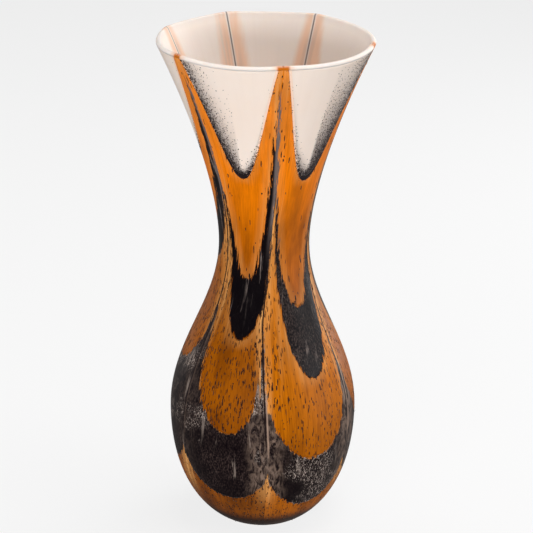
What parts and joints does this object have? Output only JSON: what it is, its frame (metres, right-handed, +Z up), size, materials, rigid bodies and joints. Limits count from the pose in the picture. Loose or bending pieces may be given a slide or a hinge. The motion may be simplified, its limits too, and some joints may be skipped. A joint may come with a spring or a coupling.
{
  "type": "art glass vase",
  "caption": "Tall trumpet-mouthed hand blown glass vase with a waisted neck, round belly and raked orange, black and cream festoon bands, for holding flowers.",
  "frame": {"origin": "centre of the foot ring's flat resting face", "axes": "+Z up along the vase's axis, +X to the viewer's right, -Y towards the front"},
  "size_m": [0.168, 0.168, 0.4],
  "materials": {
    "opal_body": "satin, acid etched opal white glass",
    "foot_orange_band": "satin, acid etched orange opaque glass",
    "belly_black_band": "satin, acid etched black glass with fine pale veins",
    "belly_orange_band": "satin, acid etched orange opaque glass with dark stretched specks",
    "neck_black_band": "satin, acid etched black glass",
    "neck_orange_band": "satin, acid etched bright orange opaque glass",
    "powder_fringe": "satin, black glass powder melted in",
    "crown_opal_lobes": "satin, acid etched cream opal glass"
  },
  "bodies": {
    "root": {"opal_body": "opal_body", "foot_orange_band": "foot_orange_band", "belly_black_band": "belly_black_band", "belly_orange_band": "belly_orange_band", "neck_black_band": "neck_black_band", "neck_orange_band": "neck_orange_band", "powder_fringe": "powder_fringe", "crown_opal_lobes": "crown_opal_lobes"}
  },
  "joints": []
}
